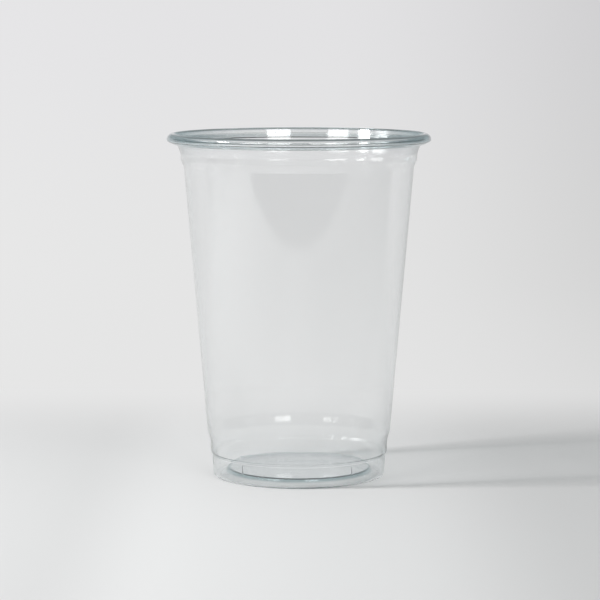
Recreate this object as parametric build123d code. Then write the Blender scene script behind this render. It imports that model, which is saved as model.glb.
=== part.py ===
"""Clear disposable cup for cold drinks, thermoformed in one piece from thin plastic sheet.

The cup stands on the ring of its foot. The origin is on the axis at the floor and +Z points up.
One line, the outer face of the sheet from the middle of the base to the free edge of the rolled
rim, is thickened to the sheet's gauge and turned about the axis. Lengths are in millimetres.
"""

import os
from math import atan2, cos, degrees, radians, tan

from build123d import *

# A round is the radius on the tight side of a bend in the sheet

# Whole cup
height = 124.0  # floor to the crest of the rim
rim_diameter = 95.0  # over the rolled rim, the size that a lid is made for
foot_diameter = 62.2  # over the foot wall at the floor
sheet = 0.3  # gauge of the formed sheet

# Base: a foot ring that touches the floor, and a flat panel that is raised inside it
panel_inset = 5.5  # from the foot wall in to the edge of the panel
panel_lift = 2.4  # floor to the underside of the panel
panel_step = 0.9  # depth of the small step round the panel
panel_step_run = 0.35
foot_ring_width = 2.3  # from the foot wall in to the inner edge of the ring
foot_round = 0.5
base_round = 0.25  # the bends between the ring and the panel

# Foot wall, undercut and the upright heel above it, which keep stacked cups from jamming
foot_height = 7.6
foot_flare = 0.3  # growth of the foot's radius from the floor to the undercut
undercut_depth = 0.7
undercut_rise = 1.1
undercut_round = 0.2
heel_rise = 4.1  # height of the upright band over the undercut
heel_flare = 0.06
shoulder_depth = 1.05  # sloped shoulder from the band out to the side wall
shoulder_rise = 3.5
shoulder_round = 8.0  # a gentle S from the heel to the side wall

# Short upright ribs on the foot wall, in pairs
rib_pairs = 6
rib_pair_angle = 16.4  # degrees between the two ribs of a pair
rib_turn = -1.5  # degrees that the whole pattern is turned from symmetry about -Y
rib_proud = 0.12
rib_bottom = 3.9
rib_top_gap = 0.2  # top of a rib to the undercut

# Lid band below the rim, and the stacking step under the band
overhang = 5.0  # from the lid band's outer face out to the edge of the rim
band_top_drop = 7.1  # crest of the rim down to the top of the lid band
band_bottom_drop = 9.5
band_flare = 0.1
stack_depth = 1.05  # the stacking step's growth in radius
stack_rise = 2.4
stack_round = 1.3
neck_angle = 21.0  # lean of the neck outwards, from upright
neck_round = 1.5

# Rolled rim: over the crest, down, in under the roll and up again beside the neck
crest_radius = 2.05  # of the roll's outside, from the crest round to the edge
roll_depth = 2.4  # crest of the rim down to the underside of the roll, inside the sheet
roll_lower_round = 0.3
underside_angle = 26.5  # fall of the underside towards the neck
curl_round = 0.2  # the bend beside the neck, where the sheet turns up
roll_gap = 0.15  # turned-up edge to the neck
free_edge_drop = 2.05  # crest of the rim down to the sheet's free edge

rim_radius = rim_diameter / 2
foot_radius = foot_diameter / 2
band_top = height - band_top_drop
band_bottom = height - band_bottom_drop
band_radius = rim_radius - overhang
full_round = 0.98  # share of a straight that a round may take up
arc_share = 0.9  # share of the roll's width or depth that its large arc may take up


def base_points():
    """Outer face from the axis to the floor edge of the foot wall, with the bend at each point."""
    panel_radius = foot_radius - panel_inset
    return [
        ((0, panel_lift), None),
        ((panel_radius, panel_lift), base_round),
        ((panel_radius + panel_step_run, panel_lift - panel_step), base_round),
        ((foot_radius - foot_ring_width, 0), base_round),
        ((foot_radius, 0), foot_round),
    ]


def side_points():
    """Outer face from the top of the foot wall up to the top of the lid band."""
    undercut_radius = foot_radius + foot_flare
    heel_radius = undercut_radius + undercut_depth
    heel_foot = foot_height + undercut_rise
    shoulder_radius = heel_radius + heel_flare
    shoulder_foot = heel_foot + heel_rise
    return [
        ((undercut_radius, foot_height), undercut_round),
        ((heel_radius, heel_foot), undercut_round),
        ((shoulder_radius, shoulder_foot), shoulder_round),
        ((shoulder_radius + shoulder_depth, shoulder_foot + shoulder_rise), shoulder_round),
        ((band_radius - stack_depth, band_bottom - stack_rise), stack_round),
        ((band_radius, band_bottom), stack_round),
        ((band_radius + band_flare, band_top), neck_round),
    ]


def rim_points():
    """Outer face round the roll, from its top to the free edge that is turned up inside it."""
    top = height - sheet
    edge = rim_radius - sheet
    underside = height - roll_depth
    free_edge = height - free_edge_drop
    lean = tan(radians(neck_angle))
    fall = tan(radians(underside_angle))

    def neck_radius(z):
        return band_radius + band_flare + (z - band_top) * lean

    # The crest is one round of two arcs, limited so that the roll keeps a little upright side
    crest_width = edge - neck_radius(top)
    side = top - underside
    top_round = min(crest_radius - sheet, crest_width * arc_share, side * arc_share)
    inner_reach = tan(radians(90 - neck_angle) / 2)
    inner_round = (crest_width - top_round) / inner_reach * full_round
    lower_reach = tan(radians(90 - underside_angle) / 2)
    lower_round = min(roll_lower_round, (side - top_round) / lower_reach * full_round)

    # The underside runs in until the sheet, turned up there, stands beside the neck by the gap
    beside_neck = (roll_gap + sheet) / cos(radians(neck_angle))
    curl_radius = (neck_radius(underside) + beside_neck - lean * fall * edge) / (1 - lean * fall)
    return [
        ((neck_radius(top), top), inner_round),
        ((edge, top), top_round),
        ((edge, underside), lower_round),
        ((curl_radius, underside - (edge - curl_radius) * fall), curl_round),
        ((neck_radius(free_edge) + beside_neck, free_edge), None),
    ]


def outer_rounds(points, rounds):
    """Radius on the outer face at each bend: the tight side there, or a gauge larger than it."""
    radii = []
    for before, corner, after, tight in zip(points, points[1:], points[2:], rounds):
        turn = (Vector(corner) - Vector(before)).cross(Vector(after) - Vector(corner)).Z
        radii.append(tight + sheet if turn > 0 else tight)
    return radii


def cup_shell():
    """The sheet's section, turned once about the axis."""
    outline = base_points() + side_points() + rim_points()
    points = [point for point, _ in outline]
    radii = outer_rounds(points, [bend for _, bend in outline[1:-1]])
    with BuildPart() as shell:
        with BuildSketch(Plane.XZ):
            with BuildLine():
                outer_face = FilletPolyline(*points, radius=radii)
                offset(outer_face, amount=sheet, side=Side.LEFT)
            make_face()
        revolve(axis=Axis.Z)
    return shell.part


def foot_rib():
    """One rib on the wall at azimuth +X: half a round-ended bar, its flat back inside the sheet."""
    sunk = sheet / 2
    bar_radius = rib_proud + sunk
    length = foot_height - rib_top_gap - rib_bottom
    with BuildPart() as rib:
        with BuildSketch(Plane.XZ):
            with Locations((0, length / 2)):
                SlotOverall(length, 2 * bar_radius, rotation=90)
            split(bisect_by=Plane.YZ)
        revolve(axis=Axis.Z)
        split(bisect_by=Plane.YZ)
    wall_lean = atan2(foot_flare, foot_height)
    wall_radius = foot_radius + foot_flare * rib_bottom / foot_height
    return Pos(wall_radius - sunk, 0, rib_bottom) * Rot(Y=degrees(wall_lean)) * rib.part


def foot_ribs():
    """Every rib, pair by pair round the foot."""
    rib = foot_rib()
    pitch = 360 / rib_pairs
    first_pair = rib_turn - 90 + pitch / 2
    ribs = []
    for pair in range(rib_pairs):
        for side in (-1, 1):
            turn = first_pair + pair * pitch + side * rib_pair_angle / 2
            ribs.append(Rot(Z=turn) * rib)
    return ribs


cup = cup_shell() + foot_ribs()

os.makedirs("parts", exist_ok=True)
export_step(cup, "parts/cup.step")
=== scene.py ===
"""Clear thermoformed cup for cold drinks: the formed sheet, its finish, and a small studio."""

from math import atan2, cos, degrees, pi, radians, sin, tan

import bmesh
import bpy
from bpy.props import FloatProperty, FloatVectorProperty, IntProperty, PointerProperty
from mathutils import Matrix, Vector


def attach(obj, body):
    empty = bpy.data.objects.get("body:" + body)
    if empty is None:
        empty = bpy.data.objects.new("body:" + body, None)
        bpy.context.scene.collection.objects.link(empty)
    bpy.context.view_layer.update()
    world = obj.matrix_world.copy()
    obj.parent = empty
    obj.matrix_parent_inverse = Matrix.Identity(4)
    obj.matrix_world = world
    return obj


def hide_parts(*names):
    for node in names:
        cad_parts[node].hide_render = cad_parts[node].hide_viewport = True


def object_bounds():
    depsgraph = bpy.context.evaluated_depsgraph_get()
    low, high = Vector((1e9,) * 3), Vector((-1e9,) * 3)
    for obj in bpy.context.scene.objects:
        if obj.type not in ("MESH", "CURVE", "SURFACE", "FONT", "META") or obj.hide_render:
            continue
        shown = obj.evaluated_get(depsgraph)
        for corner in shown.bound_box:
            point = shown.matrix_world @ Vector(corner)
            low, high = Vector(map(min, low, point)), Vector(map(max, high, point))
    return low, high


bl_info = {
    "name": "Clear disposable cup",
    "version": (1, 0, 0),
    "blender": (4, 5, 0),
    "location": "View3D > Sidebar > Cup",
    "description": "Builds a clear thermoformed cup and a pale studio to show it in",
    "category": "Add Mesh",
}

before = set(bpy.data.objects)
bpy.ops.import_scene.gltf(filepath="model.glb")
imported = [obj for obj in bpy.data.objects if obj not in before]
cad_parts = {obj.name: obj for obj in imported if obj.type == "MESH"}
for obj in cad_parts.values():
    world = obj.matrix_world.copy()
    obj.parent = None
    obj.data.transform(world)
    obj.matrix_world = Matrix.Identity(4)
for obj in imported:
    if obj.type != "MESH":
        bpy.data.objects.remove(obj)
CAD_LOW, CAD_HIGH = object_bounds()
MM = 0.001
RIM_RADIUS = (CAD_HIGH.x - CAD_LOW.x) / 2
CUP_HEIGHT = CAD_HIGH.z
FRONT = -pi / 2

# How finely the sheet is cut for smooth shading
BEND_STEP = 9  # degrees of a bend for each cut
FEWEST_CUTS = 4
RIB_STEPS = 8  # cuts across a rib, and across the gap between the ribs of a pair
BETWEEN_STEPS = 22  # cuts from one pair of ribs to the next
SWEEP_CUTS = 24  # cuts of the floor sheet's sweep
MERGE = 0.005 * MM  # points nearer than this are one
FULL_ROUND = 0.98  # share of a straight that a round may take up
SHARP = radians(60)  # edges sharper than this are rounded, which are those of the trimmed edge
TRIM_ROUND = 1 / 8  # share of the roll's sheet that the rounding of its trimmed edge takes

# The facing value where the painted shade and tint of glancing faces is half in, and how softly it
# comes in
WALL_SHADE_FACING = (0.75, 1 / 2.4)
ROLL_SHADE_FACING = (0.75 / 1.6, 1 / 1.6)
SHADOW_POWER = 5.0  # how late a face turns dark in the cup's shadow as it turns edge-on

# Tones of the sheet, which are painted shade. Each place is in metres: to the right of the axis, or
# above the floor
RAMP_MIDDLE = 0.5  # the axis on a ramp that runs across the sheet
# Painted shade on the floor near the cup: darker towards both sides
FLOOR_SHADE_ACROSS = ((-0.08, 0.87), (-0.04, 1.0), (0.03, 1.0), (0.09, 0.87))
# Painted light far behind the cup: a glowing tone, with painted shade that darkens it to the right
# and higher up
BACKDROP_SHADE_ACROSS = ((-0.3, 0.81), (0.0, 0.78), (0.3, 0.62))
BACKDROP_SHADE_UP = (
    (0.0, 1.0), (0.17, (0.985, 0.98, 0.995)), (0.32, (0.55, 0.59, 0.6)), (0.7, (0.42, 0.45, 0.46))
)
GLOW_SHARE_BEHIND = ((0.045, 0.0), (0.2, 1.0))  # metres behind the axis, and the share of the painted glow
ROOM_TONES = (-0.23, -0.16, -0.01, 0.07, 1.0)  # how far up each looks, from -1 to 1

BOUNCES = 24  # enough to go through both walls and the roll
GLOSSY_BOUNCES = 12


def length(name, description, millimetres):
    """A size in the panel, written here in millimetres."""
    return FloatProperty(
        name=name, description=description, default=millimetres * MM, unit="LENGTH", precision=5
    )


def angle(name, description, turn):
    """An angle in the panel, written here in degrees."""
    return FloatProperty(name=name, description=description, default=radians(turn), subtype="ANGLE")


def number(name, description, default):
    """A plain number in the panel, from 0 up."""
    return FloatProperty(name=name, description=description, default=default, min=0)


def colour(name, description, default):
    """A colour in the panel."""
    return FloatVectorProperty(
        name=name, description=description, default=default, subtype="COLOR", min=0, max=1
    )


class CupSizes(bpy.types.PropertyGroup):
    """Sizes of the formed sheet's outer face."""

    sheet: length("Sheet", "Gauge of the formed sheet", 0.3)
    rim_sheet: length("Rim sheet", "Gauge of the roll, which is stretched least", 0.5)
    base_sheet: length("Base sheet", "Gauge of the base, which is stretched little", 0.45)
    foot_radius: length("Foot radius", "Outer face of the foot wall at the floor", 31.1)
    panel_inset: length("Panel inset", "From the foot wall in to the edge of the base panel", 5.5)
    panel_lift: length("Panel lift", "Floor to the underside of the base panel", 2.4)
    panel_step: length("Panel step", "Depth of the step round the base panel", 0.9)
    panel_step_run: length("Panel step run", "Width of the step round the base panel", 0.35)
    foot_ring: length("Foot ring", "From the foot wall in to the ring's inner edge", 2.3)
    foot_round: length("Foot round", "Tight radius at the foot's outer edge", 0.5)
    base_round: length("Base round", "Tight radius of the bends in the base", 0.25)
    foot_height: length("Foot height", "Floor to the undercut", 7.6)
    foot_flare: length("Foot flare", "Growth of the foot wall's radius", 0.3)
    undercut_depth: length("Undercut depth", "How far the heel stands out over the foot", 0.7)
    undercut_rise: length("Undercut rise", "Height of the undercut's slope", 1.1)
    undercut_round: length("Undercut round", "Tight radius at the undercut", 0.2)
    heel_rise: length("Heel rise", "Height of the upright heel", 4.1)
    heel_flare: length("Heel flare", "Growth of the heel's radius", 0.06)
    shoulder_depth: length("Shoulder depth", "Growth of the radius over the shoulder", 1.05)
    shoulder_rise: length("Shoulder rise", "Height of the shoulder", 3.5)
    shoulder_round: length("Shoulder round", "Tight radius at the shoulder", 8.0)
    overhang: length("Overhang", "Lid band out to the edge of the rim", 5.0)
    band_top_drop: length("Band top", "Crest of the rim down to the lid band", 7.1)
    band_bottom_drop: length("Band bottom", "Crest of the rim down to the lid band's foot", 9.5)
    band_flare: length("Band flare", "Growth of the lid band's radius", 0.1)
    stack_depth: length("Stacking step depth", "Growth of the radius over the step", 1.05)
    stack_rise: length("Stacking step rise", "Height of the stacking step", 2.4)
    stack_round: length("Stacking step round", "Tight radius at the stacking step", 1.3)
    neck_angle: angle("Neck lean", "Lean of the neck from upright", 21.0)
    neck_round: length("Neck round", "Tight radius at the neck", 1.5)
    crest_radius: length("Crest radius", "Radius over the roll's outside, from crest to edge", 2.05)
    roll_depth: length("Roll depth", "Crest of the rim down to its underside", 2.4)
    underside_angle: angle("Underside fall", "Fall of the roll's underside", 26.5)
    roll_lower_round: length("Roll lower round", "Tight radius under the roll", 0.3)
    roll_gap: length("Roll gap", "Turned-up edge of the sheet to the neck", 0.15)
    curl_round: length("Curl round", "Tight radius where the sheet turns up beside the neck", 0.2)
    free_edge_drop: length("Free edge", "Crest of the rim down to the turned-up free edge", 2.05)
    row: length("Row", "Longest step along the section, away from the bends", 4.0)
    foot_row: length("Foot row", "Longest step up the foot wall, where the ribs are", 0.24)
    rib_pairs: IntProperty(name="Rib pairs", description="Pairs of short ribs", default=6, min=1)
    rib_pair_angle: angle("Rib pair angle", "Angle between the ribs of a pair", 16.4)
    rib_turn: angle("Rib turn", "Turn of the whole rib pattern", -1.5)
    rib_width: length("Rib width", "Width of a rib over its rounded flanks", 1.2)
    rib_proud: length("Rib height", "How far a rib stands out of the foot wall", 0.12)
    rib_bottom: length("Rib bottom", "Floor to the foot of a rib", 3.9)
    rib_top: length("Rib top", "Floor to the top of a rib", 7.4)


class SheetFinish(bpy.types.PropertyGroup):
    """Finish of the clear sheet."""

    base: colour("Surface", "Tint where light goes straight through a face", (1.0, 1.0, 1.0))
    depth: colour("Depth tint", "Colour that long paths inside the sheet take", (0.45, 0.72, 0.75))
    density: number("Depth density", "Strength of the depth tint for each metre", 60.0)
    # Painted shade with the plastic's own tint: faces seen edge-on are darkened, and dark lines are
    # painted along the roll, at the undercut and round the panel
    shade_and_tint: colour("Glancing tint", "Tint of a face seen at a glancing angle", (0.37, 0.49, 0.52))
    # Shares of that painted shade and tint, and where it comes in
    wall_shade_and_tint: number("Wall tint", "Share of the glancing tint on the wall", 0.1)
    rim_shade_and_tint: number("Rim tint", "Share of the glancing tint at the roll", 0.85)
    foot_shade_and_tint: number("Foot tint", "Share of the glancing tint at the foot", 0.1)
    panel_shade_and_tint: number("Panel tint", "Share of the glancing tint on the base panel", 0.45)
    rim_shade_drop: length("Rim tint drop", "Crest down to where the roll's tint is half in", 4.0)
    foot_shade_top: length("Foot tint top", "Floor up to where the foot's tint is half in", 9.0)
    shade_step: length("Tint step", "Distance over which a tint comes in", 2.0)
    # Widths of the painted dark lines at the undercut and round the panel
    undercut_shade_line: length("Undercut line", "Half the width of the undercut's tinted line", 0.8)
    panel_shade_line: length("Panel line", "Half the width of the tinted fold round the panel", 1.1)
    # Painted shade: the trimmed edge is painted near black for the dark line it shows
    cut: colour("Cut edge", "Colour of the trimmed edge inside the roll", (0.05, 0.08, 0.085))
    cut_roughness: number("Cut roughness", "Roughness of the trimmed edge", 0.4)
    index: number("Index", "Refractive index of the plastic", 1.57)
    roughness: number("Roughness", "Roughness of the formed surface", 0.06)
    shade: number("Shade", "Light that each face lets through in the cup's shadow", 0.97)
    wave_across: number("Wave across", "Flow waves for each metre around the wall", 70.0)
    wave_up: number("Wave up", "Flow waves for each metre up the wall", 9.0)
    wave_height: length("Wave height", "Height of the flow waves", 0.02)
    wave_detail: number("Wave detail", "Finer waves that each wave carries", 2.0)


class StudioSettings(bpy.types.PropertyGroup):
    """Floor, backdrop, lamps and camera."""

    floor: colour("Floor", "Colour of the floor sheet beside the cup", (0.8, 0.8, 0.8))
    front_edge: length("Front edge", "Axis to the floor sheet's front edge", 354.0)
    backdrop_start: length("Backdrop", "Axis to where the sheet sweeps up", 900.0)
    backdrop_height: length("Backdrop height", "Height of the upright sheet", 700.0)
    half_width: length("Half width", "Half of the sheet's width", 2000.0)
    sweep: length("Sweep", "Radius of the sweep from floor to backdrop", 300.0)
    room: colour("Room", "Colour of the room below the table", (0.04, 0.045, 0.05))
    horizon: colour("Horizon", "Colour of the room at eye level", (0.55, 0.56, 0.56))
    walls: colour("Walls", "Colour of the room's walls", (0.11, 0.12, 0.125))
    ceiling: colour("Ceiling", "Colour of the room's ceiling", (0.26, 0.27, 0.27))
    lens: number("Lens", "Focal length of the camera, in millimetres", 146.4)
    camera_side: length("Camera side", "Axis to the camera, to the right", 0.4)
    camera_back: length("Camera back", "Axis to the camera, towards the viewer", 878.0)
    camera_height: length("Camera height", "Floor to the camera", 165.8)
    camera_tilt: angle("Camera tilt", "How far the camera looks down", 6.64)


def tight_rounds(points, rounds, gauge):
    """Radius on the outer face at each bend: the tight side there, or a gauge larger than it."""
    radii = []
    for before, corner, after, tight in zip(points, points[1:], points[2:], rounds):
        turn = (corner - before).cross(after - corner).y
        radii.append(tight + gauge if turn < 0 else tight)
    return radii


def outer_face(s):
    """Corner points of the sheet's outer face, from the axis to the rolled edge, with rounds."""
    panel = s.foot_radius - s.panel_inset
    undercut = s.foot_radius + s.foot_flare
    heel = undercut + s.undercut_depth
    heel_foot = s.foot_height + s.undercut_rise
    shoulder = heel + s.heel_flare
    shoulder_foot = heel_foot + s.heel_rise
    band = RIM_RADIUS - s.overhang
    band_top = CUP_HEIGHT - s.band_top_drop
    band_bottom = CUP_HEIGHT - s.band_bottom_drop
    top = CUP_HEIGHT - s.rim_sheet
    edge = RIM_RADIUS - s.rim_sheet
    underside = CUP_HEIGHT - s.roll_depth
    lean = tan(s.neck_angle)
    fall = tan(s.underside_angle)

    def neck(z):
        return band + s.band_flare + (z - band_top) * lean

    top_round = s.crest_radius - s.rim_sheet
    inner_round = FULL_ROUND * (edge - neck(top) - top_round) / tan((pi / 2 - s.neck_angle) / 2)
    beside_neck = (s.roll_gap + s.rim_sheet) / cos(s.neck_angle)
    curl = (neck(underside) + beside_neck - lean * fall * edge) / (1 - lean * fall)
    free_edge = CUP_HEIGHT - s.free_edge_drop
    outline = [
        (0, s.panel_lift, 0),
        (panel, s.panel_lift, s.base_round),
        (panel + s.panel_step_run, s.panel_lift - s.panel_step, s.base_round),
        (s.foot_radius - s.foot_ring, 0, s.base_round),
        (s.foot_radius, 0, s.foot_round),
        (undercut, s.foot_height, s.undercut_round),
        (heel, heel_foot, s.undercut_round),
        (shoulder, shoulder_foot, s.shoulder_round),
        (shoulder + s.shoulder_depth, shoulder_foot + s.shoulder_rise, s.shoulder_round),
        (band - s.stack_depth, band_bottom - s.stack_rise, s.stack_round),
        (band, band_bottom, s.stack_round),
        (band + s.band_flare, band_top, s.neck_round),
        (neck(top), top, inner_round),
        (edge, top, top_round),
        (edge, underside, s.roll_lower_round),
        (curl, underside - (edge - curl) * fall, s.curl_round),
        (neck(free_edge) + beside_neck, free_edge, 0),
    ]
    points = [Vector((radius, 0, z)) for radius, z, _ in outline]
    rounds = [bend for _, _, bend in outline[1:-1]]
    return points, tight_rounds(points, rounds, s.sheet)


def profile_mesh(s):
    """A bmesh that holds the outer face's line, rounded at its bends and cut for smooth shading."""
    points, radii = outer_face(s)
    bm = bmesh.new()
    corners = [bm.verts.new(point) for point in points]
    for before, after in zip(corners, corners[1:]):
        bm.edges.new((before, after))
    turns = [
        (after - corner).angle(corner - before)
        for before, corner, after in zip(points, points[1:], points[2:])
    ]
    for corner, radius, turn in zip(corners[1:-1], radii, turns):
        bmesh.ops.bevel(
            bm,
            geom=[corner],
            offset=radius * tan(turn / 2),
            offset_type="OFFSET",
            segments=max(FEWEST_CUTS, round(degrees(turn) / BEND_STEP)),
            profile=0.5,
            affect="VERTICES",
            material=-1,
            clamp_overlap=False,
        )
    for edge in list(bm.edges):
        middle = (edge.verts[0].co + edge.verts[1].co) / 2
        on_foot_wall = middle.x > s.foot_radius and middle.z < s.foot_height
        longest = s.foot_row if on_foot_wall else s.row
        cuts = int(edge.calc_length() / longest)
        if cuts:
            bmesh.ops.subdivide_edges(bm, edges=[edge], cuts=cuts)
    return bm


def sector_turns(s):
    """The turns of the spin, sector by sector: fine over each rib, coarser between them."""
    rib = s.rib_width / s.foot_radius
    within = s.rib_pair_angle - rib
    between = 2 * pi / s.rib_pairs - s.rib_pair_angle - rib
    pair = [(rib, RIB_STEPS), (within, RIB_STEPS), (rib, RIB_STEPS), (between, BETWEEN_STEPS)]
    return pair * s.rib_pairs


def spin_profile(bm, s):
    """Turns the line about the axis, starting at the first rib of the pair left of the front."""
    start = FRONT + s.rib_turn - pi / s.rib_pairs - s.rib_pair_angle / 2
    start -= s.rib_width / s.foot_radius / 2
    bmesh.ops.rotate(bm, verts=bm.verts, matrix=Matrix.Rotation(start, 3, "Z"))
    line = list(bm.verts) + list(bm.edges)
    for turn, steps in sector_turns(s):
        spun = bmesh.ops.spin(
            bm, geom=line, axis=(0, 0, 1), cent=(0, 0, 0), angle=turn, steps=steps
        )
        line = spun["geom_last"]
    bmesh.ops.remove_doubles(bm, verts=bm.verts, dist=MERGE)


def press_out_ribs(bm, s):
    """Moves the sheet outwards over each rib, with rounded flanks and ends."""
    pitch = 2 * pi / s.rib_pairs
    first = FRONT + s.rib_turn - pitch / 2
    half_width = s.rib_width / 2
    for vert in bm.verts:
        z = vert.co.z
        reach = min(z - s.rib_bottom, s.rib_top - z)
        radius = vert.co.xy.length
        if reach <= 0 or radius < s.foot_radius:
            continue
        turn = atan2(vert.co.y, vert.co.x) - first
        from_pair = (turn + pitch / 2) % pitch - pitch / 2
        aside = abs(abs(from_pair) - s.rib_pair_angle / 2) * s.foot_radius
        if aside >= half_width:
            continue
        crown = (1 + cos(2 * pi * aside / s.rib_width)) / 2
        end = sin(min(reach / half_width, 1) * pi / 2)
        vert.co.xy *= 1 + s.rib_proud * crown * end / radius


def set_gauge(cup, s):
    """Gives each point its share of the roll's gauge: heavier at the base and up the neck."""
    group = cup.vertex_groups.new(name="gauge")
    for vert in cup.data.vertices:
        up_neck = (vert.co.z - (CUP_HEIGHT - s.band_top_drop)) / (s.band_top_drop / 2)
        down_foot = (2 * s.foot_height - vert.co.z) / s.foot_height
        up_neck, down_foot = (min(max(part, 0), 1) for part in (up_neck, down_foot))
        gauge = s.sheet + up_neck * (s.rim_sheet - s.sheet) + down_foot * (s.base_sheet - s.sheet)
        group.add([vert.index], gauge / s.rim_sheet, "REPLACE")
    return group.name


def math_node(tree, operation, *values):
    """A math node. Each value is a number or another node's output."""
    node = tree.nodes.new("ShaderNodeMath")
    node.operation = operation
    for socket, value in zip(node.inputs, values):
        if isinstance(value, (int, float)):
            socket.default_value = value
        else:
            tree.links.new(value, socket)
    return node.outputs[0]


def shade_glass(tree, finish):
    """Glass as its shadow sees it: straight through, with less light at a glancing angle."""
    facing = tree.nodes.new("ShaderNodeLayerWeight").outputs["Facing"]
    loss = math_node(tree, "POWER", facing, SHADOW_POWER)
    passed = math_node(tree, "MULTIPLY", math_node(tree, "SUBTRACT", 1.0, loss), finish.shade)
    tint = tree.nodes.new("ShaderNodeCombineColor")
    for socket in tint.inputs:
        tree.links.new(passed, socket)
    shade = tree.nodes.new("ShaderNodeBsdfTransparent")
    tree.links.new(tint.outputs["Color"], shade.inputs["Color"])
    return shade.outputs["BSDF"]


def flow_waves(tree, finish):
    """The faint upright waves that stretching the hot sheet leaves in it."""
    place = tree.nodes.new("ShaderNodeTexCoord").outputs["Object"]
    squeeze = tree.nodes.new("ShaderNodeMapping")
    squeeze.inputs["Scale"].default_value = (finish.wave_across, finish.wave_across, finish.wave_up)
    noise = tree.nodes.new("ShaderNodeTexNoise")
    noise.inputs["Scale"].default_value = 1.0
    noise.inputs["Detail"].default_value = finish.wave_detail
    bump = tree.nodes.new("ShaderNodeBump")
    bump.inputs["Distance"].default_value = finish.wave_height
    tree.links.new(place, squeeze.inputs["Vector"])
    tree.links.new(squeeze.outputs["Vector"], noise.inputs["Vector"])
    tree.links.new(noise.outputs["Fac"], bump.inputs["Height"])
    return bump.outputs["Normal"]


def near(tree, value, level, half_width):
    """1 where a value is at a level, falling to 0 at half a width from it on both sides."""
    away = math_node(tree, "ABSOLUTE", math_node(tree, "SUBTRACT", value, level))
    close = math_node(tree, "MULTIPLY_ADD", away, -1 / half_width, 1.0)
    close.node.use_clamp = True
    return close


def past(tree, value, level, soft):
    """0 below a level and 1 above it, over a soft step. A negative step falls instead of rising."""
    step = math_node(tree, "MULTIPLY_ADD", value, 1 / soft, 0.5 - level / soft)
    step.node.use_clamp = True
    return step


def cup_place(tree):
    """Distance from the axis, and height over the floor, of a point on the cup."""
    place = tree.nodes.new("ShaderNodeSeparateXYZ")
    tree.links.new(tree.nodes.new("ShaderNodeTexCoord").outputs["Object"], place.inputs[0])
    x, y, z = (place.outputs[axis] for axis in "XYZ")
    squares = math_node(tree, "MULTIPLY_ADD", y, y, math_node(tree, "MULTIPLY", x, x))
    return math_node(tree, "SQRT", squares), z


def painted_shade_and_tint(tree, finish, sizes):
    """The plastic's own tint along the sheet, and painted shade: faces seen edge-on darken, with
    painted dark lines on the roll, at the undercut and round the panel.
    """
    facing = tree.nodes.new("ShaderNodeLayerWeight").outputs["Facing"]
    radius, z = cup_place(tree)
    panel_edge = sizes.foot_radius - sizes.panel_inset
    undercut = sizes.foot_height + sizes.undercut_rise / 2
    step = finish.shade_step
    roll = past(tree, z, CUP_HEIGHT - finish.rim_shade_drop, step)
    foot = past(tree, z, finish.foot_shade_top, -step)
    panel = past(tree, radius, panel_edge, -step)

    # Painted shade and tint on faces that are seen along the sheet: the wall, the foot and its panel,
    # and a painted dark line at the undercut
    over_ring = finish.panel_shade_and_tint - finish.foot_shade_and_tint
    base = math_node(tree, "MULTIPLY_ADD", panel, over_ring, finish.foot_shade_and_tint)
    amount = math_node(tree, "MULTIPLY_ADD", foot, base, finish.wall_shade_and_tint)
    line = near(tree, z, undercut, finish.undercut_shade_line)
    amount = math_node(tree, "ADD", amount, line)
    amount = math_node(tree, "MULTIPLY", amount, past(tree, facing, *WALL_SHADE_FACING))

    # Painted shade on the roll, which turns away all round, and a painted dark line at the fold round
    # the panel
    around = math_node(tree, "MULTIPLY", past(tree, facing, *ROLL_SHADE_FACING), finish.rim_shade_and_tint)
    amount = math_node(tree, "MULTIPLY_ADD", roll, around, amount)
    fold = near(tree, radius, panel_edge + sizes.panel_step_run / 2, finish.panel_shade_line)
    amount = math_node(tree, "MULTIPLY_ADD", fold, foot, amount)
    amount.node.use_clamp = True

    tint = tree.nodes.new("ShaderNodeMix")
    tint.data_type = "RGBA"
    tint.inputs["A"].default_value = (*finish.base, 1)
    tint.inputs["B"].default_value = (*finish.shade_and_tint, 1)
    tree.links.new(amount, tint.inputs["Factor"])
    return tint.outputs["Result"]


def clear_sheet(finish, sizes):
    """Clear plastic: glass-like faces, a faint depth tint, painted shade in its colour, and lamps
    that shine through it.
    """
    material = bpy.data.materials.new("clear_sheet")
    material.use_nodes = True
    tree = material.node_tree
    tree.nodes.clear()
    link = tree.links.new
    out = tree.nodes.new("ShaderNodeOutputMaterial")
    skin = tree.nodes.new("ShaderNodeBsdfPrincipled")
    skin.inputs["Transmission Weight"].default_value = 1
    skin.inputs["Roughness"].default_value = finish.roughness
    skin.inputs["IOR"].default_value = finish.index
    # The base colour carries the plastic's tint and painted shade on edge-on faces and in the bends
    link(painted_shade_and_tint(tree, finish, sizes), skin.inputs["Base Color"])
    link(flow_waves(tree, finish), skin.inputs["Normal"])
    depth = tree.nodes.new("ShaderNodeVolumeAbsorption")
    depth.inputs["Color"].default_value = (*finish.depth, 1)
    depth.inputs["Density"].default_value = finish.density
    path = tree.nodes.new("ShaderNodeLightPath").outputs
    unseen = math_node(tree, "MAXIMUM", path["Is Shadow Ray"], path["Is Diffuse Ray"])
    mix = tree.nodes.new("ShaderNodeMixShader")
    link(unseen, mix.inputs["Fac"])
    link(skin.outputs["BSDF"], mix.inputs[1])
    link(shade_glass(tree, finish), mix.inputs[2])
    link(mix.outputs["Shader"], out.inputs["Surface"])
    link(depth.outputs["Volume"], out.inputs["Volume"])
    return material


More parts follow.
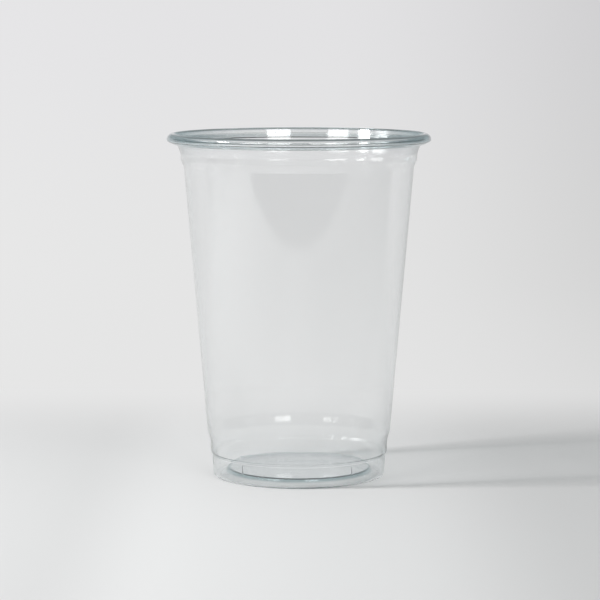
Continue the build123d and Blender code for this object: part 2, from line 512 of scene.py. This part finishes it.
def trimmed_edge(finish):
    """The cut edge of the sheet: frosted, and painted near black as painted shade for the dark line
    the edge shows.
    """
    material = bpy.data.materials.new("trimmed_edge")
    material.use_nodes = True
    skin = material.node_tree.nodes["Principled BSDF"]
    # Painted shade: a near-black colour on the frosted cut edge
    skin.inputs["Base Color"].default_value = (*finish.cut, 1)
    skin.inputs["Roughness"].default_value = finish.cut_roughness
    return material


def formed_mesh(sizes):
    """The sheet's outer face as a mesh, facing outwards."""
    bm = profile_mesh(sizes)
    spin_profile(bm, sizes)
    press_out_ribs(bm, sizes)
    bmesh.ops.recalc_face_normals(bm, faces=bm.faces)
    lowest = min(bm.faces, key=lambda face: face.calc_center_median().z)
    if lowest.normal.z > 0:
        bmesh.ops.reverse_faces(bm, faces=bm.faces)
    mesh = bpy.data.meshes.new("formed_cup")
    bm.to_mesh(mesh)
    bm.free()
    mesh.shade_smooth()
    return mesh


def thicken(cup, sizes):
    """Gives the sheet its thickness inwards, softens its cut edge and keeps its flat runs flat."""
    wall = cup.modifiers.new("sheet gauge", "SOLIDIFY")
    wall.thickness = sizes.rim_sheet
    wall.vertex_group = set_gauge(cup, sizes)
    wall.offset = -1
    wall.use_even_offset = True
    wall.use_quality_normals = True
    wall.material_offset_rim = 1  # the trimmed edge
    trim = cup.modifiers.new("trimmed edge", "BEVEL")
    trim.limit_method = "ANGLE"
    trim.angle_limit = SHARP
    trim.width = sizes.rim_sheet * TRIM_ROUND
    trim.segments = 2
    cup.modifiers.new("flat runs stay flat", "WEIGHTED_NORMAL").weight = 50


class CUP_OT_sheet(bpy.types.Operator):
    """Form the cup from one sheet"""

    bl_idname = "cup.sheet"
    bl_label = "Cup"

    def execute(self, context):
        sizes = context.scene.cup_sizes
        finish = context.scene.cup_finish
        mesh = formed_mesh(sizes)
        mesh.materials.append(clear_sheet(finish, sizes))
        mesh.materials.append(trimmed_edge(finish))
        cup = bpy.data.objects.new("formed_cup", mesh)
        context.scene.collection.objects.link(cup)
        thicken(cup, sizes)
        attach(cup, "root")
        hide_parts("cup")
        return {"FINISHED"}


def ramp(tree, value, *stops):
    """A colour ramp over a value. Each stop is a position and a grey or a colour."""
    node = tree.nodes.new("ShaderNodeValToRGB")
    elements = node.color_ramp.elements
    while len(elements) < len(stops):
        elements.new(1)
    for element, (position, tone) in zip(elements, stops):
        element.position = position
        element.color = (*tone, 1) if hasattr(tone, "__len__") else (tone, tone, tone, 1)
    node.color_ramp.interpolation = "EASE"
    tree.links.new(value, node.inputs["Fac"])
    return node.outputs["Color"]


def painted_backdrop_glow(tree, side, z):
    """Painted light: a glowing tone that the sheet shows far behind the cup, with painted shade that
    darkens it to one side and up.
    """
    tone = tree.nodes.new("ShaderNodeMix")
    tone.data_type = "RGBA"
    tone.blend_type = "MULTIPLY"
    tone.inputs["Factor"].default_value = 1
    across = [(x + RAMP_MIDDLE, grey) for x, grey in BACKDROP_SHADE_ACROSS]
    tree.links.new(ramp(tree, side, *across), tone.inputs["A"])
    tree.links.new(ramp(tree, z, *BACKDROP_SHADE_UP), tone.inputs["B"])
    glow = tree.nodes.new("ShaderNodeEmission")
    tree.links.new(tone.outputs["Result"], glow.inputs["Color"])
    return glow.outputs["Emission"]


def sheet_finish(studio):
    """Matt pale paper near the cup, with painted shade towards both sides, and painted light far
    behind it: a glowing tone with painted shade to one side and up.
    """
    material = bpy.data.materials.new("pale_sheet")
    material.use_nodes = True
    tree = material.node_tree
    tree.nodes.clear()
    link = tree.links.new
    place = tree.nodes.new("ShaderNodeSeparateXYZ")
    link(tree.nodes.new("ShaderNodeTexCoord").outputs["Object"], place.inputs[0])
    side = math_node(tree, "ADD", place.outputs["X"], RAMP_MIDDLE)
    across = [
        (x + RAMP_MIDDLE, [share * channel for channel in studio.floor])
        for x, share in FLOOR_SHADE_ACROSS
    ]
    # The paper's colour carries painted shade, darker towards both sides
    paper = tree.nodes.new("ShaderNodeBsdfDiffuse")
    link(ramp(tree, side, *across), paper.inputs["Color"])
    path = tree.nodes.new("ShaderNodeLightPath").outputs
    seen = math_node(tree, "MAXIMUM", path["Is Camera Ray"], path["Is Glossy Ray"])
    seen = math_node(tree, "MAXIMUM", seen, path["Is Transmission Ray"])
    # Far behind the cup the sheet shows the painted glow in place of the lit paper
    far = ramp(tree, place.outputs["Y"], *GLOW_SHARE_BEHIND)
    mix = tree.nodes.new("ShaderNodeMixShader")
    link(math_node(tree, "MULTIPLY", far, seen), mix.inputs["Fac"])
    link(paper.outputs["BSDF"], mix.inputs[1])
    link(painted_backdrop_glow(tree, side, place.outputs["Z"]), mix.inputs[2])
    out = tree.nodes.new("ShaderNodeOutputMaterial")
    link(mix.outputs["Shader"], out.inputs["Surface"])
    return material


def room_light(studio):
    """The room round the sheet: dark below the table, pale at eye level, dimmer walls above."""
    world = bpy.data.worlds.new("studio")
    world.use_nodes = True
    tree = world.node_tree
    place = tree.nodes.new("ShaderNodeSeparateXYZ")
    tree.links.new(tree.nodes.new("ShaderNodeTexCoord").outputs["Generated"], place.inputs[0])
    height = math_node(tree, "MULTIPLY_ADD", place.outputs["Z"], 0.5, 0.5)
    tones = (studio.room, studio.horizon, studio.horizon, studio.walls, studio.ceiling)
    stops = [((up + 1) / 2, tone) for up, tone in zip(ROOM_TONES, tones)]
    tree.links.new(ramp(tree, height, *stops), tree.nodes["Background"].inputs["Color"])
    return world


def floor_sheet(studio):
    """The pale sheet under the cup, swept up into the backdrop."""
    bm = bmesh.new()
    width = studio.half_width
    foot = (-width, studio.backdrop_start, 0)
    edge = [bm.verts.new(p) for p in (
        (-width, -studio.front_edge, 0), foot, (-width, studio.backdrop_start, studio.backdrop_height)
    )]
    for before, after in zip(edge, edge[1:]):
        bm.edges.new((before, after))
    bmesh.ops.bevel(
        bm, geom=[edge[1]], offset=studio.sweep, offset_type="OFFSET", segments=SWEEP_CUTS,
        profile=0.5, affect="VERTICES", material=-1, clamp_overlap=False,
    )
    across = bmesh.ops.extrude_edge_only(bm, edges=bm.edges)
    moved = [item for item in across["geom"] if isinstance(item, bmesh.types.BMVert)]
    bmesh.ops.translate(bm, verts=moved, vec=(2 * width, 0, 0))
    bmesh.ops.recalc_face_normals(bm, faces=bm.faces)
    mesh = bpy.data.meshes.new("floor_sheet")
    bm.to_mesh(mesh)
    bm.free()
    mesh.shade_smooth()
    sheet = bpy.data.objects.new("floor_sheet", mesh)
    mesh.materials.append(sheet_finish(studio))
    return sheet


def lamp(scene, name, spread, level, heading, elevation, distance):
    """A soft rectangular lamp that faces the cup.

    Spread is its width and height as the cup sees them, heading is to the right of the front,
    and elevation is above the cup's middle, all in degrees. Level is how bright its face is.
    """
    data = bpy.data.lights.new(name, "AREA")
    data.shape = "RECTANGLE"
    data.size, data.size_y = (2 * distance * tan(radians(turn) / 2) for turn in spread)
    data.energy = level * pi * data.size * data.size_y
    obj = bpy.data.objects.new(name, data)
    heading, elevation = radians(heading), radians(elevation)
    back = Vector((
        sin(heading) * cos(elevation), -cos(heading) * cos(elevation), sin(elevation)
    ))
    obj.location = Vector((0, 0, CUP_HEIGHT / 2)) + back * distance
    obj.rotation_euler = back.to_track_quat("Z", "Y").to_euler()
    scene.collection.objects.link(obj)


def camera_view(scene, studio):
    """The camera, in front of the cup and a little above it."""
    data = bpy.data.cameras.new("camera")
    data.lens = studio.lens
    camera = bpy.data.objects.new("camera", data)
    camera.location = (studio.camera_side, -studio.camera_back, studio.camera_height)
    camera.rotation_euler = (pi / 2 - studio.camera_tilt, 0, 0)
    scene.collection.objects.link(camera)
    scene.camera = camera


class CUP_OT_stage(bpy.types.Operator):
    """Lay the pale floor, hang the lamps and set up the camera"""

    bl_idname = "cup.stage"
    bl_label = "Stage"

    def execute(self, context):
        scene = context.scene
        studio = scene.cup_studio
        floor = floor_sheet(studio)
        scene.collection.objects.link(floor)
        lamp(scene, "key", (9, 9), level=109.0, heading=-75, elevation=36, distance=0.75)
        windows = (("window_right", (20, 24), 22.3), ("window_left", (19, 24), -44.1))
        for name, spread, heading in windows:
            lamp(scene, name, spread, level=4.2, heading=heading, elevation=33, distance=2.6)
        scene.world = room_light(studio)
        camera_view(scene, studio)

        scene.view_settings.view_transform = "Standard"
        scene.cycles.max_bounces = BOUNCES
        scene.cycles.transmission_bounces = BOUNCES
        scene.cycles.glossy_bounces = GLOSSY_BOUNCES
        scene.cycles.transparent_max_bounces = BOUNCES
        scene.cycles.caustics_reflective = False
        scene.cycles.caustics_refractive = False
        return {"FINISHED"}


class CUP_PT_panel(bpy.types.Panel):
    """Sizes, finish and studio of the clear cup"""

    bl_label = "Clear cup"
    bl_idname = "CUP_PT_panel"
    bl_space_type = "VIEW_3D"
    bl_region_type = "UI"
    bl_category = "Cup"

    def draw(self, context):
        layout = self.layout
        for operator in OPERATORS:
            layout.operator(operator.bl_idname)
        for name, _ in GROUPS:
            group = getattr(context.scene, name)
            for prop in group.bl_rna.properties:
                if not prop.is_readonly and prop.identifier != "name":
                    layout.prop(group, prop.identifier)


OPERATORS = (CUP_OT_sheet, CUP_OT_stage)
GROUPS = (("cup_sizes", CupSizes), ("cup_finish", SheetFinish), ("cup_studio", StudioSettings))


def register():
    """Registers the groups, operators and panel, and hangs the groups on the scene."""
    for name, group in GROUPS:
        bpy.utils.register_class(group)
        setattr(bpy.types.Scene, name, PointerProperty(type=group))
    for cls in (*OPERATORS, CUP_PT_panel):
        bpy.utils.register_class(cls)


def unregister():
    """Takes back what register set up."""
    for cls in (CUP_PT_panel, *OPERATORS):
        bpy.utils.unregister_class(cls)
    for name, group in GROUPS:
        delattr(bpy.types.Scene, name)
        bpy.utils.unregister_class(group)


def main():
    """Builds the cup and its stage."""
    register()
    bpy.ops.cup.sheet()
    bpy.ops.cup.stage()


if __name__ == "__main__":
    main()
